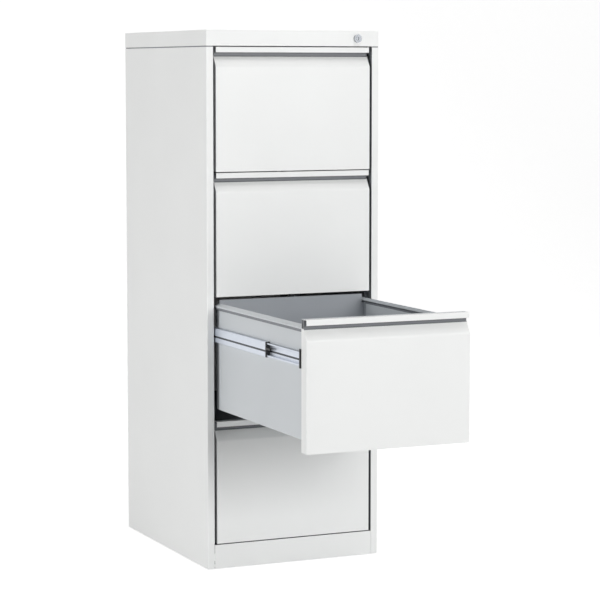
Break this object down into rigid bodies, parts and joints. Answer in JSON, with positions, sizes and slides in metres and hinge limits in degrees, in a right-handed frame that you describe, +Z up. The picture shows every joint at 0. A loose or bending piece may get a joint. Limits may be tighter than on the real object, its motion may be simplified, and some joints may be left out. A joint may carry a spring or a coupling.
{
  "type": "filing cabinet",
  "caption": "Tall steel office filing cabinet with suspension-file drawers on ball-bearing slides, one drawer pulled out, grip lips and a lock in the top rim.",
  "frame": {"origin": "on the floor, at the middle of the bounding box of the cabinet with its third drawer open", "axes": "+Z up; -Y towards the person in front of the drawers, the way they open; +X to that person's right as they face the cabinet"},
  "size_m": [0.462, 1.105, 1.32],
  "materials": {
    "cabinet_paint": "satin",
    "drawer_paint": "satin",
    "zinc_plate": "satin",
    "bearing_steel": "satin",
    "black_plastic": "matte",
    "lock_chrome": "polished"
  },
  "bodies": {
    "cabinet": {"left_side_panel": "cabinet_paint", "right_side_panel": "cabinet_paint", "back_panel": "cabinet_paint", "top_cover": "cabinet_paint", "bottom_panel": "cabinet_paint", "plinth_panel": "cabinet_paint", "levelling_feet": "black_plastic", "lock_rail": "cabinet_paint", "slide_uprights": "zinc_plate", "lock_housing": "lock_chrome", "lock_bar_guides": "zinc_plate", "drawer_1_cabinet_slides": "zinc_plate", "drawer_2_cabinet_slides": "zinc_plate", "drawer_3_cabinet_slides": "zinc_plate", "drawer_4_cabinet_slides": "zinc_plate"},
    "lock": {"lock_cylinder": "lock_chrome", "lock_cam": "zinc_plate"},
    "lock_bar": {"lock_bar": "zinc_plate", "lock_bar_head": "zinc_plate", "lock_bar_tabs": "zinc_plate"},
    "slide_stage_1": {"drawer_1_middle_slides": "zinc_plate", "drawer_1_slide_end_caps": "black_plastic"},
    "drawer_1": {"drawer_1_front_panel": "cabinet_paint", "drawer_1_front_liner": "drawer_paint", "drawer_1_tray": "drawer_paint", "drawer_1_tray_back": "drawer_paint", "drawer_1_drawer_slides": "zinc_plate", "drawer_1_release_levers": "black_plastic"},
    "outer_cages_1": {"drawer_1_outer_ball_cages": "bearing_steel"},
    "inner_cages_1": {"drawer_1_inner_ball_cages": "bearing_steel"},
    "slide_stage_2": {"drawer_2_middle_slides": "zinc_plate", "drawer_2_slide_end_caps": "black_plastic"},
    "drawer_2": {"drawer_2_front_panel": "cabinet_paint", "drawer_2_front_liner": "drawer_paint", "drawer_2_tray": "drawer_paint", "drawer_2_tray_back": "drawer_paint", "drawer_2_drawer_slides": "zinc_plate", "drawer_2_release_levers": "black_plastic"},
    "outer_cages_2": {"drawer_2_outer_ball_cages": "bearing_steel"},
    "inner_cages_2": {"drawer_2_inner_ball_cages": "bearing_steel"},
    "slide_stage_3": {"drawer_3_middle_slides": "zinc_plate", "drawer_3_slide_end_caps": "black_plastic"},
    "drawer_3": {"drawer_3_front_panel": "cabinet_paint", "drawer_3_front_liner": "drawer_paint", "drawer_3_tray": "drawer_paint", "drawer_3_tray_back": "drawer_paint", "drawer_3_drawer_slides": "zinc_plate", "drawer_3_release_levers": "black_plastic"},
    "outer_cages_3": {"drawer_3_outer_ball_cages": "bearing_steel"},
    "inner_cages_3": {"drawer_3_inner_ball_cages": "bearing_steel"},
    "slide_stage_4": {"drawer_4_middle_slides": "zinc_plate", "drawer_4_slide_end_caps": "black_plastic"},
    "drawer_4": {"drawer_4_front_panel": "cabinet_paint", "drawer_4_front_liner": "drawer_paint", "drawer_4_tray": "drawer_paint", "drawer_4_tray_back": "drawer_paint", "drawer_4_drawer_slides": "zinc_plate", "drawer_4_release_levers": "black_plastic"},
    "outer_cages_4": {"drawer_4_outer_ball_cages": "bearing_steel"},
    "inner_cages_4": {"drawer_4_inner_ball_cages": "bearing_steel"}
  },
  "joints": [
    {"name": "lock_turn", "type": "hinge", "parent": "cabinet", "child": "lock", "pos_m": [0.172, -0.0225, 1.30075], "axis": [0, 1, 0], "range_deg": [0, 90]},
    {"name": "lock_bar_drop", "type": "slide", "parent": "cabinet", "child": "lock_bar", "axis": [0, 0, -1], "range_m": [0, 0.01414]},
    {"name": "stage_1_slide", "type": "slide", "parent": "cabinet", "child": "slide_stage_1", "axis": [0, -1, 0], "range_m": [0, 0.365]},
    {"name": "drawer_1_slide", "type": "slide", "parent": "slide_stage_1", "child": "drawer_1", "axis": [0, -1, 0], "range_m": [0, 0.185]},
    {"name": "outer_cages_1_roll", "type": "slide", "parent": "cabinet", "child": "outer_cages_1", "axis": [0, -1, 0], "range_m": [0, 0.1825]},
    {"name": "inner_cages_1_roll", "type": "slide", "parent": "slide_stage_1", "child": "inner_cages_1", "axis": [0, -1, 0], "range_m": [0, 0.0925]},
    {"name": "stage_2_slide", "type": "slide", "parent": "cabinet", "child": "slide_stage_2", "axis": [0, -1, 0], "range_m": [0, 0.365]},
    {"name": "drawer_2_slide", "type": "slide", "parent": "slide_stage_2", "child": "drawer_2", "axis": [0, -1, 0], "range_m": [0, 0.185]},
    {"name": "outer_cages_2_roll", "type": "slide", "parent": "cabinet", "child": "outer_cages_2", "axis": [0, -1, 0], "range_m": [0, 0.1825]},
    {"name": "inner_cages_2_roll", "type": "slide", "parent": "slide_stage_2", "child": "inner_cages_2", "axis": [0, -1, 0], "range_m": [0, 0.0925]},
    {"name": "stage_3_slide", "type": "slide", "parent": "cabinet", "child": "slide_stage_3", "axis": [0, -1, 0], "range_m": [-0.35, 0.015]},
    {"name": "drawer_3_slide", "type": "slide", "parent": "slide_stage_3", "child": "drawer_3", "axis": [0, -1, 0], "range_m": [-0.18, 0.005]},
    {"name": "outer_cages_3_roll", "type": "slide", "parent": "cabinet", "child": "outer_cages_3", "axis": [0, -1, 0], "range_m": [-0.175, 0.0075]},
    {"name": "inner_cages_3_roll", "type": "slide", "parent": "slide_stage_3", "child": "inner_cages_3", "axis": [0, -1, 0], "range_m": [-0.09, 0.0025]},
    {"name": "stage_4_slide", "type": "slide", "parent": "cabinet", "child": "slide_stage_4", "axis": [0, -1, 0], "range_m": [0, 0.365]},
    {"name": "drawer_4_slide", "type": "slide", "parent": "slide_stage_4", "child": "drawer_4", "axis": [0, -1, 0], "range_m": [0, 0.185]},
    {"name": "outer_cages_4_roll", "type": "slide", "parent": "cabinet", "child": "outer_cages_4", "axis": [0, -1, 0], "range_m": [0, 0.1825]},
    {"name": "inner_cages_4_roll", "type": "slide", "parent": "slide_stage_4", "child": "inner_cages_4", "axis": [0, -1, 0], "range_m": [0, 0.0925]}
  ],
  "couplings": [
    {"joint": "lock_turn", "follows": "lock_bar_drop", "rad_per_m": 111.07},
    {"joint": "outer_cages_1_roll", "follows": "stage_1_slide", "ratio": 0.5},
    {"joint": "inner_cages_1_roll", "follows": "drawer_1_slide", "ratio": 0.5},
    {"joint": "outer_cages_2_roll", "follows": "stage_2_slide", "ratio": 0.5},
    {"joint": "inner_cages_2_roll", "follows": "drawer_2_slide", "ratio": 0.5},
    {"joint": "outer_cages_3_roll", "follows": "stage_3_slide", "ratio": 0.5},
    {"joint": "inner_cages_3_roll", "follows": "drawer_3_slide", "ratio": 0.5},
    {"joint": "outer_cages_4_roll", "follows": "stage_4_slide", "ratio": 0.5},
    {"joint": "inner_cages_4_roll", "follows": "drawer_4_slide", "ratio": 0.5}
  ]
}
